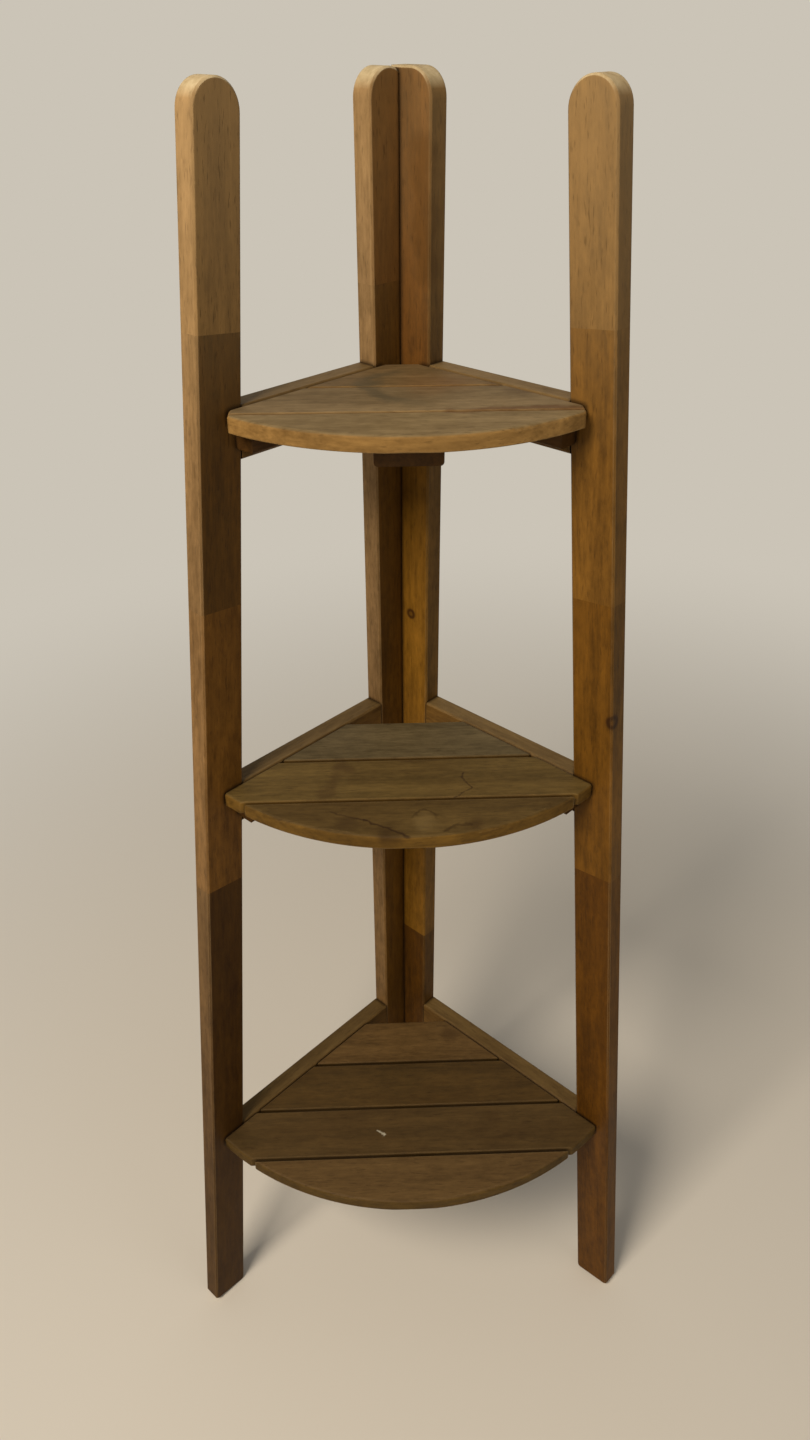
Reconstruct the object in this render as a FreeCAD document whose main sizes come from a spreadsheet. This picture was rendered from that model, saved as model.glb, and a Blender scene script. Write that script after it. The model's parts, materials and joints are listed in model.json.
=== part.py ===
import FreeCAD, Part
import math
import os

import Sketcher
from FreeCAD import Placement, Rotation, Vector

# A three-tier corner plant stand in oiled hardwood. Two ladder-like side frames
# meet at a right angle in the back corner, their front uprights splaying forward
# to the floor, and carry three quarter-round slatted shelves that grow downwards.
#
# X runs to the right, Y to the back corner, Z up. The origin is on the floor,
# under the middle of the stand's own box. Lengths are millimetres.

doc = FreeCAD.newDocument("CornerPlantStand")
sheet = doc.addObject("Spreadsheet::Sheet", "Sizes")

SIZES = [
    ("stand_height", 1175.0, "floor to the crown of every upright"),
    ("board_thickness", 18.0, "uprights, rails, bearers and battens"),
    ("upright_width", 39.0, "wide face of the four uprights"),
    ("lean_angle", 6.1, "splay of the front uprights, degrees off plumb"),
    ("foot_reach", 308.2, "corner line to a front upright's front edge, at the floor"),
    ("post_reach", 30.0, "corner line to a back upright's front edge"),
    ("corner_rebate", 9.0, "how far one back upright is let into the other"),
    ("shadow_gap", 0.6, "gap left beside the rebate joint"),
    ("arris_chamfer", 1.4, "eased edges of uprights and rails"),
    ("foot_easing", 4.0, "rounded corners of the feet"),
    ("rail_depth", 39.0, "height of the rails"),
    ("top_level", 973.0, "floor to the top shelf's upper face"),
    ("middle_level", 659.5, "floor to the middle shelf's upper face"),
    ("bottom_level", 250.5, "floor to the bottom shelf's upper face"),
    ("top_radius", 189.0, "corner line to the top shelf's round front"),
    ("middle_radius", 219.5, "corner line to the middle shelf's round front"),
    ("bottom_radius", 268.0, "corner line to the bottom shelf's round front"),
    ("top_back", 17.0, "corner line to the top shelf's back edge"),
    ("middle_back", 54.5, "corner line to the middle shelf's back edge"),
    ("bottom_back", 46.0, "corner line to the bottom shelf's back edge"),
    ("top_pitch", 61.0, "slat width and gap on the top shelf"),
    ("middle_pitch", 58.5, "slat width and gap on the middle shelf"),
    ("bottom_pitch", 57.2, "slat width and gap on the bottom shelf"),
    ("slat_gap", 3.0, "gap between two slats"),
    ("slat_thickness", 12.0, "all slats"),
    ("slat_chamfer", 0.8, "eased long edges of the slats"),
    ("front_easing", 2.5, "rounded upper edge along the shelf fronts"),
    ("side_clearance", 1.5, "slat ends to the side frames"),
    ("nose_half_width", 125.2, "middle of the top shelf to its squared-off noses"),
    ("nose_radius", 5.0, "rounded corners of those noses"),
    ("bearer_section", 18.0, "square section of the side bearers"),
    ("bearer_chamfer", 1.2, "eased long edges of the side bearers"),
    ("bearer_overlap", 6.0, "bearer past the back edge of the front upright"),
    ("batten_width", 49.0, "centre battens"),
    ("batten_easing", 3.0, "rounded lower edges of the centre battens"),
    ("batten_clearance", 3.0, "centre battens to the bearers or the back edge"),
    ("batten_hold", 25.0, "how far a centre batten reaches under the front slat"),
    ("tenon_length", 20.0, "rail tenons, into the uprights"),
    ("tenon_thickness", 6.0, "rail tenons, a third of the board"),
    ("tenon_height", 27.0, "rail tenons, leaving a shoulder above and below"),
    ("screw_diameter", 3.6, "all wood screws"),
    ("head_diameter", 7.2, "screw heads and the counterbores they sit in"),
    ("head_depth", 2.0, "screw heads and the counterbores they sit in"),
    ("slat_screw", 26.0, "screws up through a bearer or batten into a slat"),
    ("rail_screw", 32.0, "screws through a bearer into its rail"),
    ("corner_screw", 40.0, "screws through one back upright into the other"),
]

LEAN = "(Sizes.lean_angle * 1deg)"
SLANT = "sqrt(2)"
SIDES = ("left", "right")
TIERS = ("top", "middle", "bottom")
SLATS = {
    "top": ("back", "middle", "front"),
    "middle": ("back", "centre", "front"),
    "bottom": ("back", "second", "third", "front"),
}
CORNER_SCREW_HEIGHTS = (90.0, 440.0, 790.0, 1110.0)
CORNER_SCREW_INSET = 4.25
RAIL_SCREW_INSET = {"top": 16.0, "middle": 16.0, "bottom": 30.0}
BATTEN_SCREW_OFFSET = 14.0
DRILL_SPARE = 0.5
JOINT_LAP = 1.0
ROD_SIDES = 6
WORLD_UP = Vector(0, 0, 1)

finished = []


def fill_sheet():
    """Write every driving size into the sheet, one row each."""
    for row, (alias, number, note) in enumerate(SIZES, start=1):
        sheet.set(f"A{row}", alias.replace("_", " "))
        sheet.set(f"B{row}", str(number))
        sheet.set(f"C{row}", note)
        sheet.setAlias(f"B{row}", alias)
    doc.recompute()


def size(alias):
    return float(sheet.get(alias))


def keep(piece, label):
    """Mark a finished piece: its label names its file."""
    piece.Label = label
    finished.append(piece)
    return piece


# ---- the frame that all pieces are placed in -------------------------------

fill_sheet()
lean = math.radians(size("lean_angle"))
thickness = size("board_thickness")
square_corner = thickness + size("corner_rebate")
back_reach = (square_corner - size("arris_chamfer")) / math.sqrt(2)
corner_line = Vector(0, (size("bottom_radius") - back_reach) / 2, 0)

# Heading of each side frame, from the corner line to its front upright.
HEADING = {"left": -135.0, "right": -45.0}
# Outwards of each frame along the frame's own Y axis.
OUTWARD = {"left": -1, "right": 1}


def frame_place(side, along, outward, height, turned=False, tilt=0.0):
    """A placement in a side frame: along it, out of its inner face and up."""
    heading = Rotation(WORLD_UP, HEADING[side])
    local = Vector(along, OUTWARD[side] * outward, height)
    turn = heading * Rotation(WORLD_UP, 180 if turned else 0)
    turn = turn * Rotation(Vector(0, 1, 0), -tilt)
    return Placement(corner_line + heading.multVec(local), turn)


# Rules are written once, as text for the pieces' bindings. value() works one out.

def value(rule):
    return float(sheet.evalExpression(rule))


def joint_rule(height):
    """Along a frame at a height, out to the back edge of its leaning upright."""
    return (f"(Sizes.foot_reach - Sizes.upright_width / cos{LEAN}"
            f" - ({height}) * tan{LEAN})")


def slat_rules(tier, number):
    """Back and front edge of a slat, as distances in front of the corner line."""
    back = f"(Sizes.{tier}_back + {number} * Sizes.{tier}_pitch)"
    if number == len(SLATS[tier]) - 1:
        return back, f"Sizes.{tier}_radius"
    return back, f"({back} + Sizes.{tier}_pitch - Sizes.slat_gap)"


def bearer_rules(tier):
    """Back and front end of a side bearer, along its frame."""
    back = (f"max(Sizes.post_reach + 2; Sizes.{tier}_back * {SLANT}"
            " - Sizes.bearer_section / 2)")
    middle = f"Sizes.{tier}_level - Sizes.slat_thickness - Sizes.bearer_section / 2"
    return back, f"({joint_rule(middle)} + Sizes.bearer_overlap)"


def batten_rules(tier):
    """Back and front end of a centre batten, in front of the corner line."""
    between_bearers = f"Sizes.batten_width / 2 + Sizes.bearer_section * {SLANT}"
    back = f"(max({between_bearers}; Sizes.{tier}_back) + Sizes.batten_clearance)"
    last_slat = slat_rules(tier, len(SLATS[tier]) - 1)[0]
    return back, f"({last_slat} + Sizes.batten_hold)"


# ---- sketches and features --------------------------------------------------

def new_body(name):
    return doc.addObject("PartDesign::Body", name)


def new_sketch(body, role):
    plane = next(f for f in body.Origin.OriginFeatures if f.Role == role)
    sketch = body.newObject("Sketcher::SketchObject", "Sketch")
    sketch.AttachmentSupport = [(plane, "")]
    sketch.MapMode = "FlatFace"
    return sketch


def tie(sketch, *constraints):
    for constraint in constraints:
        sketch.addConstraint(Sketcher.Constraint(*constraint))


def drive(sketch, name, expression, *constraint):
    """Add a dimension and bind it to the sheet."""
    index = sketch.addConstraint(Sketcher.Constraint(*constraint))
    sketch.renameConstraint(index, name)
    sketch.setExpression(f"Constraints.{name}", expression)


def closed_lines(sketch, corners):
    """Straight lines through the corners, closed end to end."""
    points = [Vector(x, y, 0) for x, y in corners]
    count = len(points)
    for i in range(count):
        sketch.addGeometry(Part.LineSegment(points[i], points[(i + 1) % count]), False)
    for i in range(count):
        tie(sketch, ("Coincident", i, 2, (i + 1) % count, 1))


def pad(body, sketch, expression, backwards=False):
    feature = body.newObject("PartDesign::Pad", "Pad")
    feature.Profile = sketch
    feature.setExpression("Length", expression)
    feature.Reversed = backwards
    doc.recompute()
    return feature


def ease(body, base, kind, alias, wanted):
    """Fillet or chamfer the edges that the test picks out by their middle point."""
    names = []
    for number, edge in enumerate(base.Shape.Edges, start=1):
        middle = edge.valueAt((edge.FirstParameter + edge.LastParameter) / 2)
        if wanted(edge, middle):
            names.append(f"Edge{number}")
    feature = body.newObject(f"PartDesign::{kind}", kind)
    feature.Base = (base, names)
    feature.setExpression({"Fillet": "Radius", "Chamfer": "Size"}[kind], f"Sizes.{alias}")
    doc.recompute()
    return feature


def shaped(body, kind, place, **expressions):
    """Add a primitive to a body or cut it out, and make sure that wood changes."""
    before = 0 if body.Shape.isNull() else body.Shape.Volume
    feature = body.newObject(f"PartDesign::{kind}", kind)
    feature.Placement = place
    for name, expression in expressions.items():
        feature.setExpression(name, expression)
    doc.recompute()
    if abs(body.Shape.Volume - before) < 1:
        raise ValueError(f"{body.Name}: {kind} changes nothing")
    return feature


def along_axis(point, direction):
    """A placement at a point whose Z axis follows the direction."""
    return Placement(point, Rotation(WORLD_UP, direction))


def in_body(body, place):
    """The same place, seen from inside a body that has its own Placement."""
    return body.Placement.inverse() * place


# ---- uprights ---------------------------------------------------------------

def square_shoulder(body, near):
    """Fill one side of a crown: the edge let into the other upright stays square."""
    half = size("upright_width") / 2
    corner = Vector(half, near, size("stand_height") - half)
    return shaped(body, "AdditiveBox", Placement(corner, Rotation()),
                  Length="Sizes.upright_width / 2", Width="Sizes.board_thickness",
                  Height="Sizes.upright_width / 2")


def upright(label, side, is_front, let_in=False):
    """A board with a half-round crown. Its X = 0 edge takes the rails."""
    body = new_body(label)
    sketch = new_sketch(body, "XZ_Plane")
    width, height = size("upright_width"), size("stand_height")
    straight = height - width / 2
    sketch.addGeometry([
        Part.LineSegment(Vector(0, 0, 0), Vector(width, 0, 0)),
        Part.LineSegment(Vector(width, 0, 0), Vector(width, straight, 0)),
        Part.ArcOfCircle(Part.Circle(Vector(width / 2, straight, 0), WORLD_UP, width / 2),
                         0, math.pi),
        Part.LineSegment(Vector(0, straight, 0), Vector(0, 0, 0)),
    ], False)
    tie(sketch, ("Coincident", 0, 1, -1, 1), ("Horizontal", 0), ("Coincident", 0, 2, 1, 1),
        ("Vertical", 1), ("Tangent", 1, 2, 2, 1), ("Tangent", 2, 2, 3, 1),
        ("Vertical", 3), ("Coincident", 3, 2, 0, 1))
    drive(sketch, "width", "Sizes.upright_width", "DistanceX", 0, 1, 0, 2, width)
    if is_front:
        crown = f"Sizes.upright_width / 2 * (1 + sin{LEAN})"
        foot = f"Sizes.foot_easing * (sin{LEAN} + cos{LEAN} - 1)"
        rule = f"(Sizes.stand_height + {foot} - {crown}) / cos{LEAN}"
    else:
        rule = "Sizes.stand_height - Sizes.upright_width / 2"
    drive(sketch, "straight", rule, "DistanceY", 1, 1, 1, 2, straight)

    # The sketch's normal is -Y. A back upright is turned round in its frame.
    outward = OUTWARD[side] if is_front else -OUTWARD[side]
    block = pad(body, sketch, "Sizes.board_thickness", backwards=outward > 0)
    if let_in:
        block = square_shoulder(body, near=min(0, outward * thickness))
    eased = ease(body, block, "Fillet", "foot_easing",
                 lambda edge, mid: mid.z < 0.1 and abs(abs(mid.y) - thickness / 2) < 0.1)
    ease(body, eased, "Chamfer", "arris_chamfer",
         lambda edge, mid: min(abs(mid.y), abs(abs(mid.y) - thickness)) < 0.01)

    if is_front:
        drop = size("foot_easing") * (math.sin(lean) + math.cos(lean) - 1)
        body.Placement = frame_place(side, value(joint_rule(-drop)), 0, -drop,
                                     tilt=size("lean_angle"))
    else:
        body.Placement = frame_place(side, size("post_reach"), 0, 0, turned=True)
    return keep(body, label)


def cut_corner_rebate(left_post):
    """The groove down the left back upright that takes the right one's edge."""
    start = size("post_reach") - size("shadow_gap")
    shaped(left_post, "SubtractiveBox", Placement(Vector(start, 0, 0), Rotation()),
           Length="Sizes.upright_width", Width="Sizes.corner_rebate",
           Height="Sizes.stand_height")


# ---- rails ---------------------------------------------------------------------

def rail(side, tier):
    """A rail whose front shoulder is cut to the lean of the upright it meets."""
    body = new_body(f"{side}_{tier}_rail")
    sketch = new_sketch(body, "XZ_Plane")
    depth, level = size("rail_depth"), size(f"{tier}_level")
    rules = [f"{joint_rule(height)} - Sizes.post_reach"
             for height in (f"Sizes.{tier}_level", f"Sizes.{tier}_level - Sizes.rail_depth")]
    upper, lower = (value(rule) for rule in rules)
    closed_lines(sketch, [(0, 0), (lower, 0), (upper, depth), (0, depth)])
    tie(sketch, ("Coincident", 0, 1, -1, 1), ("Horizontal", 0), ("Horizontal", 2),
        ("Vertical", 3))
    drive(sketch, "depth", "Sizes.rail_depth", "DistanceY", 3, 2, 3, 1, depth)
    drive(sketch, "upper_edge", rules[0], "DistanceX", 2, 2, 2, 1, upper)
    drive(sketch, "lower_edge", rules[1], "DistanceX", 0, 1, 0, 2, lower)
    block = pad(body, sketch, "Sizes.board_thickness", backwards=OUTWARD[side] > 0)
    ease(body, block, "Chamfer", "arris_chamfer",
         lambda edge, mid: edge.Length > 2 * depth)
    body.Placement = frame_place(side, size("post_reach"), 0, level - depth)
    return keep(body, body.Name)


def joint_places(side, tier):
    """Middle of a rail's two joints, X pointing into the upright, Z along the joint."""
    middle = size(f"{tier}_level") - size("rail_depth") / 2
    behind = frame_place(side, size("post_reach"), thickness / 2, middle, turned=True)
    ahead = frame_place(side, value(joint_rule(middle)), thickness / 2, middle,
                        tilt=size("lean_angle"))
    return behind, ahead


def tenon_box(body, kind, place, spare):
    """A tenon on a rail, or the mortise for it, from just inside the joint."""
    corner = Vector(-JOINT_LAP, -size("tenon_thickness") / 2, -size("tenon_height") / 2)
    return shaped(body, kind, in_body(body, place * Placement(corner, Rotation())),
                  Length=f"Sizes.tenon_length + {JOINT_LAP + spare}",
                  Width="Sizes.tenon_thickness", Height="Sizes.tenon_height")


def join_rails(side, rails, front_upright, back_upright):
    """Tenons on both ends of a frame's rails, square to the uprights' edges."""
    for tier in TIERS:
        for place, post in zip(joint_places(side, tier), (back_upright, front_upright)):
            tenon_box(rails[side, tier], "AdditiveBox", place, spare=0)
            tenon_box(post, "SubtractiveBox", place, spare=DRILL_SPARE)


# ---- shelves: bearers, battens and slats ---------------------------------------

def stick(name, length_rule, width_rule, height_rule):
    """A plain rectangular stick: length along X, width along Y, height along Z."""
    body = new_body(name)
    length, width = value(length_rule), value(width_rule)
    sketch = new_sketch(body, "XY_Plane")
    closed_lines(sketch, [(0, 0), (length, 0), (length, width), (0, width)])
    tie(sketch, ("Coincident", 0, 1, -1, 1), ("Horizontal", 0), ("Horizontal", 2),
        ("Vertical", 1), ("Vertical", 3))
    drive(sketch, "length", length_rule, "DistanceX", 0, 1, 0, 2, length)
    drive(sketch, "width", width_rule, "DistanceY", 1, 1, 1, 2, width)
    return body, pad(body, sketch, height_rule)


def bearer(side, tier):
    """The square stick along a rail's inner face that the slat ends rest on."""
    section = size("bearer_section")
    under = size(f"{tier}_level") - size("slat_thickness") - section
    back, front = bearer_rules(tier)
    body, block = stick(f"{tier}_{side}_bearer", f"{front} - {back}",
                        "Sizes.bearer_section", "Sizes.bearer_section")
    ease(body, block, "Chamfer", "bearer_chamfer",
         lambda edge, mid: edge.Length > 2 * section)
    inner_face = -section if OUTWARD[side] > 0 else 0
    body.Placement = frame_place(side, value(back), inner_face, under)
    return keep(body, body.Name)


def batten(tier):
    """The flat cross piece under the middle of a shelf, from back to front."""
    width = size("batten_width")
    back, front = batten_rules(tier)
    body, block = stick(f"{tier}_centre_batten", f"{front} - {back}",
                        "Sizes.batten_width", "Sizes.board_thickness")
    ease(body, block, "Fillet", "batten_easing",
         lambda edge, mid: edge.Length > width + 1 and mid.z < 0.1)
    under = size(f"{tier}_level") - size("slat_thickness") - thickness
    body.Placement = Placement(corner_line + Vector(-width / 2, -value(back), under),
                               Rotation(WORLD_UP, -90))
    return keep(body, body.Name)


def shelf_outline(tier):
    """The whole shelf before its slats part: a quarter disc, blunt at the back."""
    body = new_body(f"{tier}_outline")
    sketch = new_sketch(body, "XY_Plane")
    radius, back = size(f"{tier}_radius"), size(f"{tier}_back")
    slant = size("side_clearance") * math.sqrt(2)
    end_y = (slant + math.sqrt(2 * radius ** 2 - slant ** 2)) / 2
    end_x = end_y - slant
    back_x = back - slant
    first, last = math.atan2(-end_y, -end_x), math.atan2(-end_y, end_x)
    sketch.addGeometry([
        Part.LineSegment(Vector(back_x, -back, 0), Vector(-back_x, -back, 0)),
        Part.LineSegment(Vector(-back_x, -back, 0), Vector(-end_x, -end_y, 0)),
        Part.ArcOfCircle(Part.Circle(Vector(0, 0, 0), WORLD_UP, radius), first, last),
        Part.LineSegment(Vector(end_x, -end_y, 0), Vector(back_x, -back, 0)),
    ], False)
    tie(sketch, ("Coincident", 0, 2, 1, 1), ("Coincident", 1, 2, 2, 1),
        ("Coincident", 2, 2, 3, 1), ("Coincident", 3, 2, 0, 1),
        ("Coincident", 2, 3, -1, 1), ("Symmetric", 0, 1, 0, 2, -2),
        ("Symmetric", 2, 1, 2, 2, -2))
    inset = "Sizes.side_clearance * sqrt(2)"
    drive(sketch, "round_front", f"Sizes.{tier}_radius", "Radius", 2, radius)
    drive(sketch, "back_edge", f"Sizes.{tier}_back", "DistanceY", 0, 1, -1, 1, back)
    drive(sketch, "back_half", f"Sizes.{tier}_back - {inset}",
          "DistanceX", -1, 1, 0, 1, back_x)
    drive(sketch, "front_half",
          f"(sqrt(2 * Sizes.{tier}_radius ^ 2 - ({inset}) ^ 2) - {inset}) / 2",
          "DistanceX", -1, 1, 2, 2, end_x)
    block = pad(body, sketch, "Sizes.slat_thickness")
    return body, block


def square_off_noses(body):
    """The top shelf's two points are sawn off square and their corners rounded."""
    far, half = size("top_radius"), size("nose_half_width")
    for turn in (0, 180):
        spin = Rotation(WORLD_UP, turn)
        corner = spin.multVec(Vector(half, -far if turn == 0 else 0, 0))
        last = shaped(body, "SubtractiveBox", Placement(corner, spin),
                      Length="Sizes.top_radius", Width="Sizes.top_radius",
                      Height="Sizes.slat_thickness")
    return ease(body, last, "Fillet", "nose_radius",
                lambda edge, mid: abs(abs(mid.x) - half) < 0.01
                and abs(mid.z - size("slat_thickness") / 2) < 0.01)


def slats(tier):
    """The slats of a shelf: its outline parted into strips with eased edges."""
    outline, block = shelf_outline(tier)
    if tier == "top":
        block = square_off_noses(outline)
    radius, upper = size(f"{tier}_radius"), size("slat_thickness")
    ease(outline, block, "Fillet", "front_easing",
         lambda edge, mid: abs(mid.z - upper) < 0.01
         and (mid.Length > radius - 1
              or tier == "top" and abs(abs(mid.x) - size("nose_half_width")) < 2))
    outline.Placement = Placement(
        corner_line + Vector(0, 0, size(f"{tier}_level") - upper), Rotation())
    pieces = []
    for number, name in enumerate(SLATS[tier]):
        back, front = slat_rules(tier, number)
        strip, board = stick(f"{tier}_{name}_strip", f"2 * Sizes.{tier}_radius",
                             f"{front} - {back}", "Sizes.slat_thickness")
        ease(strip, board, "Chamfer", "slat_chamfer",
             lambda edge, mid: edge.Length > radius)
        corner = outline.Placement.Base + Vector(-radius, -value(front), 0)
        strip.Placement = Placement(corner, Rotation())
        cut = doc.addObject("Part::MultiCommon", f"{tier}_{name}_sawn")
        cut.Shapes = [strip, outline]
        pieces.append(cut)
    doc.recompute()
    return pieces


# ---- screws ----------------------------------------------------------------------

def rod(body, kind, place, diameter, length):
    """A slim hidden rod or hole: a prism, because dozens of round ones weigh a lot."""
    feature = shaped(body, kind, place, Circumradius=f"Sizes.{diameter} / 2",
                     Height=length)
    feature.Polygon = ROD_SIDES
    doc.recompute()
    return feature


def screw_pattern(alias):
    """One pan-head wood screw, its head's top at its own origin, pointing up."""
    body = new_body(alias)
    rod(body, "AdditivePrism", Placement(), "head_diameter", "Sizes.head_depth")
    rod(body, "AdditivePrism", Placement(), "screw_diameter", f"Sizes.{alias}")
    return body


def drill_for_screw(body, place, alias, through):
    """A hole down a screw's own line. What it goes through also takes its head."""
    place = in_body(body, place)
    rod(body, "SubtractivePrism", place, "screw_diameter",
        f"Sizes.{alias} + {DRILL_SPARE}")
    if through:
        rod(body, "SubtractivePrism", place, "head_diameter", "Sizes.head_depth")


def screw_group(label, pattern, places):
    """Identical screws, kept together as one group of separate solids."""
    screws = []
    for place in places:
        screw = doc.addObject("App::Link", f"{label}_one")
        screw.LinkedObject = pattern
        screw.Placement = place
        screws.append(screw)
    group = doc.addObject("Part::Compound", label)
    group.Links = screws
    return keep(group, label)


def fix_bearers(bearers, rails):
    """Two screws through each bearer, square into the rail beside it."""
    pattern = screw_pattern("rail_screw")
    places = []
    section = size("bearer_section")
    for (side, tier), piece in bearers.items():
        height = size(f"{tier}_level") - size("slat_thickness") - section / 2
        back, front = (value(rule) for rule in bearer_rules(tier))
        inward = Rotation(WORLD_UP, HEADING[side]).multVec(Vector(0, -OUTWARD[side], 0))
        inset = RAIL_SCREW_INSET[tier]
        for along in (back + inset, front - inset):
            seat = frame_place(side, along, -section, height)
            place = along_axis(seat.Base, inward * -1)
            drill_for_screw(piece, place, "rail_screw", through=True)
            drill_for_screw(rails[side, tier], place, "rail_screw", through=False)
            places.append(place)
    screw_group("bearer_screws", pattern, places)


def fix_corner(left_post, right_post):
    """Screws through the right back upright's edge into the left one."""
    pattern = screw_pattern("corner_screw")
    outward = Rotation(WORLD_UP, HEADING["right"]).multVec(Vector(0, 1, 0))
    places = []
    for height in CORNER_SCREW_HEIGHTS:
        seat = frame_place("right", -CORNER_SCREW_INSET, thickness, height)
        place = along_axis(seat.Base, outward * -1)
        drill_for_screw(right_post, place, "corner_screw", through=True)
        drill_for_screw(left_post, place, "corner_screw", through=False)
        places.append(place)
    screw_group("corner_screws", pattern, places)


def slat_screw_places(tier):
    """For each slat, which pieces carry it and where their screws come up."""
    head_level = size(f"{tier}_level") - size("slat_thickness") - thickness
    middle = size("bearer_section") / 2
    batten_back, batten_front = (value(rule) for rule in batten_rules(tier))
    bearer_back, bearer_front = (value(rule) for rule in bearer_rules(tier))
    found = []
    for number, name in enumerate(SLATS[tier]):
        back, front = (value(rule) for rule in slat_rules(tier, number))
        row = (max(back, batten_back) + min(front, batten_front)) / 2
        for offset in (-BATTEN_SCREW_OFFSET, BATTEN_SCREW_OFFSET):
            found.append((name, "centre", corner_line + Vector(offset, -row, head_level)))
        first = max(back * math.sqrt(2) - middle, bearer_back)
        last = min(front * math.sqrt(2) - middle, bearer_front)
        if first > last:
            continue
        for side in SIDES:
            seat = frame_place(side, (first + last) / 2, -middle, head_level)
            found.append((name, side, seat.Base))
    return found


def fix_slats(tier, sawn, bearers, batten_piece, pattern):
    """Screws up through battens and bearers, with a pilot hole in every slat."""
    pilots = {name: [] for name in SLATS[tier]}
    places = []
    for name, carrier, point in slat_screw_places(tier):
        place = along_axis(point, WORLD_UP)
        support = batten_piece if carrier == "centre" else bearers[carrier, tier]
        drill_for_screw(support, place, "slat_screw", through=True)
        pilot = doc.addObject("Part::Prism", f"{tier}_{name}_pilot")
        pilot.Polygon = ROD_SIDES
        pilot.setExpression("Circumradius", "Sizes.screw_diameter / 2")
        pilot.setExpression("Height", f"Sizes.slat_screw + {DRILL_SPARE}")
        pilot.Placement = Placement(point, Rotation())
        pilots[name].append(pilot)
        places.append(place)
    screw_group(f"{tier}_slat_screws", pattern, places)
    for piece, name in zip(sawn, SLATS[tier]):
        holes = doc.addObject("Part::Compound", f"{tier}_{name}_pilots")
        holes.Links = pilots[name]
        slat = doc.addObject("Part::Cut", f"{tier}_{name}_slat")
        slat.Base = piece
        slat.Tool = holes
        keep(slat, slat.Name)
    doc.recompute()


# ---- the stand -------------------------------------------------------------------

def build():
    fronts = {side: upright(f"{side}_front_upright", side, True) for side in SIDES}
    backs = {side: upright(f"{side}_back_upright", side, False, let_in=side == "right")
             for side in SIDES}
    cut_corner_rebate(backs["left"])
    rails = {(side, tier): rail(side, tier) for side in SIDES for tier in TIERS}
    for side in SIDES:
        join_rails(side, rails, fronts[side], backs[side])
    bearers = {(side, tier): bearer(side, tier) for side in SIDES for tier in TIERS}
    fix_bearers(bearers, rails)
    fix_corner(backs["left"], backs["right"])
    pattern = screw_pattern("slat_screw")
    for tier in TIERS:
        fix_slats(tier, slats(tier), bearers, batten(tier), pattern)
    doc.recompute()


def check():
    for item in doc.Objects:
        if "Invalid" in item.State or "Error" in item.State:
            raise ValueError(f"{item.Label} failed: {item.State}")
    for piece in finished:
        if piece.Shape.isNull() or not piece.Shape.isValid():
            raise ValueError(f"{piece.Label} has no valid shape")


def export():
    os.makedirs("parts", exist_ok=True)
    whole = FreeCAD.BoundBox()
    for piece in finished:
        whole.add(piece.Shape.BoundBox)
        piece.Shape.exportStep(f"parts/{piece.Label}.step")
        print(f"{piece.Label:24s} solids {len(piece.Shape.Solids):2d}"
              f"  volume {piece.Shape.Volume / 1000:8.2f} cm3")
    print("box", [round(v, 2) for v in (whole.XMin, whole.YMin, whole.ZMin,
                                        whole.XMax, whole.YMax, whole.ZMax)])


build()
check()
export()
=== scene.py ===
# %% [markdown]
# A corner plant stand, dressed for its portrait. The boards come from the CAD model
# and already have their real shape: eased edges, half-round tops, slats sawn to a
# quarter circle. What is left to do here is what a finisher and a photographer do:
# give every board its own oiled, weathered hardwood, and light it. The small steel
# screws are modelled anew, because the CAD keeps them as plain hexagonal rods.

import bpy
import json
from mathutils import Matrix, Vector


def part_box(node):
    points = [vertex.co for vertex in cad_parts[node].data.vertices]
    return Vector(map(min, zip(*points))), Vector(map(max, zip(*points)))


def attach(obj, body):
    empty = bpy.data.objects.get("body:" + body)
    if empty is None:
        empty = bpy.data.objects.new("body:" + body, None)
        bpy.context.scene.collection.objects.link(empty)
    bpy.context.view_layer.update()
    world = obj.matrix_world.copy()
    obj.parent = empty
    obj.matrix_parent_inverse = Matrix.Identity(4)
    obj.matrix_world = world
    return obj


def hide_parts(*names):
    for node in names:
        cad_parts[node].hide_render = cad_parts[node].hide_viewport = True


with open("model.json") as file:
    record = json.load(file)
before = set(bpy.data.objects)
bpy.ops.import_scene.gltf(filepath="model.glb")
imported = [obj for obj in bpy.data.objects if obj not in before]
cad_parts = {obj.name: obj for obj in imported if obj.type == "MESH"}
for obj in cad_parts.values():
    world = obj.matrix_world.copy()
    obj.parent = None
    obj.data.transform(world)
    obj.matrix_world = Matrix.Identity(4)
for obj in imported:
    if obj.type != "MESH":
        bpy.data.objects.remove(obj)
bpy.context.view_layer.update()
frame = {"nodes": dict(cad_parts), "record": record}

import json
import math

import bmesh
import bpy
import numpy
from mathutils import Euler, Matrix, Vector

# %% [markdown]
# Two facts place everything else. Both side frames start from one upright line in
# the back corner and run forwards at 45 degrees, and the front uprights lean back.
# The corner line is found from the bottom shelf, whose round front is a known
# distance in front of it.

# %% Where the two side frames run
BOTTOM_REACH = 0.268
CORNER = Vector((0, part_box("bottom_front_slat")[0][1] + BOTTOM_REACH, 0))
HEADING = {"left": math.radians(-135), "right": math.radians(-45)}
LEAN = math.radians(6.1)
FOOT_REACH = 0.269
STAND_HEIGHT = 1.175
UP = Vector((0, 0, 1))


def along_frame(side):
    """The level direction in which a side frame runs forwards."""
    return Vector((math.cos(HEADING[side]), math.sin(HEADING[side]), 0))


print("corner line at", [round(v, 4) for v in CORNER])

# %% [markdown]
# A hex colour is what a painter reads off a swatch, but the renderer adds up light,
# which needs linear numbers. One function turns one into the other. The second
# helper adds a node, with its settings and whatever feeds it, in one line. The third
# works as a painter does, and lays one coat over another, each through a mask.

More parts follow.
